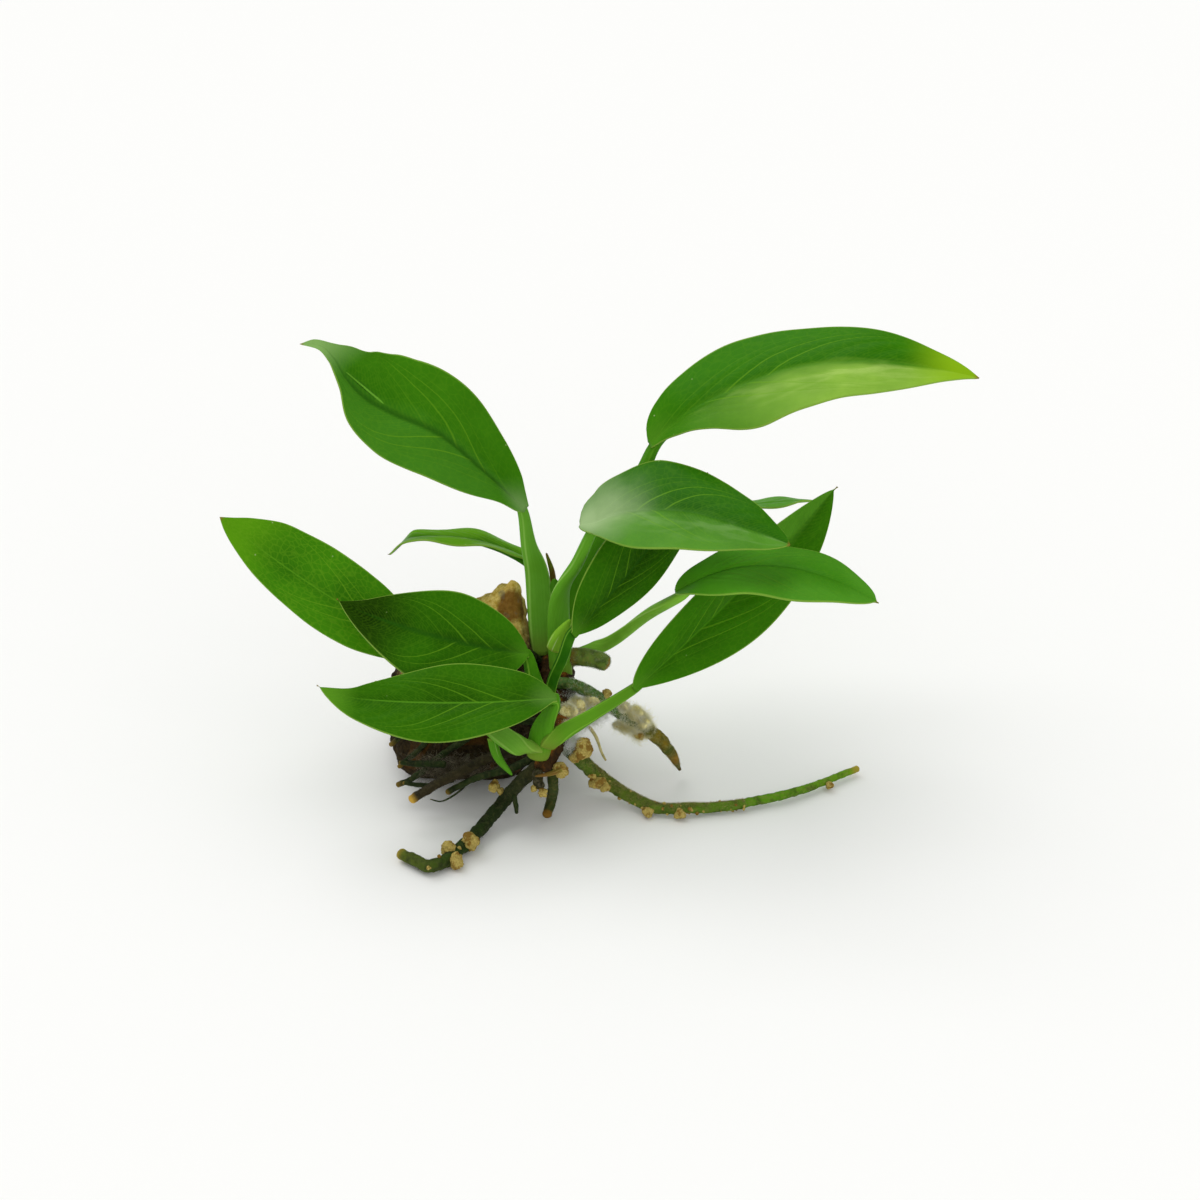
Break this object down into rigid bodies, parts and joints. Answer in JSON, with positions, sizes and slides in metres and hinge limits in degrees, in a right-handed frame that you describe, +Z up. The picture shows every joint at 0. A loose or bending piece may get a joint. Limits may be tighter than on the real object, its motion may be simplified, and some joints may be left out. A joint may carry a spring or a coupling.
{
  "type": "aquarium plant on stone",
  "caption": "Creeping water plant with broad pointed leaves on stalks, its rhizome and roots gripping a small rough stone that stands on a flat base.",
  "frame": {"origin": "centre of the stone's flat base, on the ground it stands on", "axes": "+Z up, -Y to the plant's front where the rhizome's growing tip points, +X towards the long right-hand root and the tallest leaf"},
  "size_m": [0.1853, 0.0844, 0.1153],
  "materials": {
    "leaf": "living leaf tissue, smooth and waxy, semi-gloss",
    "petiole": "living stem tissue, smooth, satin",
    "rhizome": "corky, matt",
    "root": "fleshy root with fine hairs, matt",
    "crumb": "clay and gravel crumbs, matt",
    "stone": "rough, matt"
  },
  "bodies": {
    "root": {"back_left_blade": "leaf", "back_left_petiole": "petiole", "back_right_blade": "leaf", "back_right_petiole": "petiole", "centre_blade": "leaf", "centre_petiole": "petiole", "crumb_collar": "crumb", "crumb_front_a": "crumb", "crumb_front_b": "crumb", "crumb_front_c": "crumb", "crumb_left": "crumb", "crumb_right_a": "crumb", "crumb_right_b": "crumb", "crumb_right_c": "crumb", "crumb_right_d": "crumb", "crumb_thick_a": "crumb", "crumb_thick_b": "crumb", "crumb_thick_c": "crumb", "crumb_tip": "crumb", "far_left_blade": "leaf", "far_left_petiole": "petiole", "flat_right_blade": "leaf", "flat_right_petiole": "petiole", "front_left_blade": "leaf", "front_left_petiole": "petiole", "middle_blade": "leaf", "middle_petiole": "petiole", "new_shoot": "petiole", "rhizome": "rhizome", "rising_right_blade": "leaf", "rising_right_petiole": "petiole", "root_blunt_right": "root", "root_left_lower": "root", "root_left_upper": "root", "root_long_front": "root", "root_long_right": "root", "root_short_front": "root", "root_stone_high": "root", "root_stone_low": "root", "root_stone_middle": "root", "root_stone_top": "root", "root_stub_front": "root", "root_thick_right": "root", "shaded_left_blade": "leaf", "shaded_left_petiole": "petiole", "sheath_front": "petiole", "stone": "stone", "tall_left_blade": "leaf", "tall_left_petiole": "petiole", "tall_right_blade": "leaf", "tall_right_petiole": "petiole"}
  },
  "joints": []
}
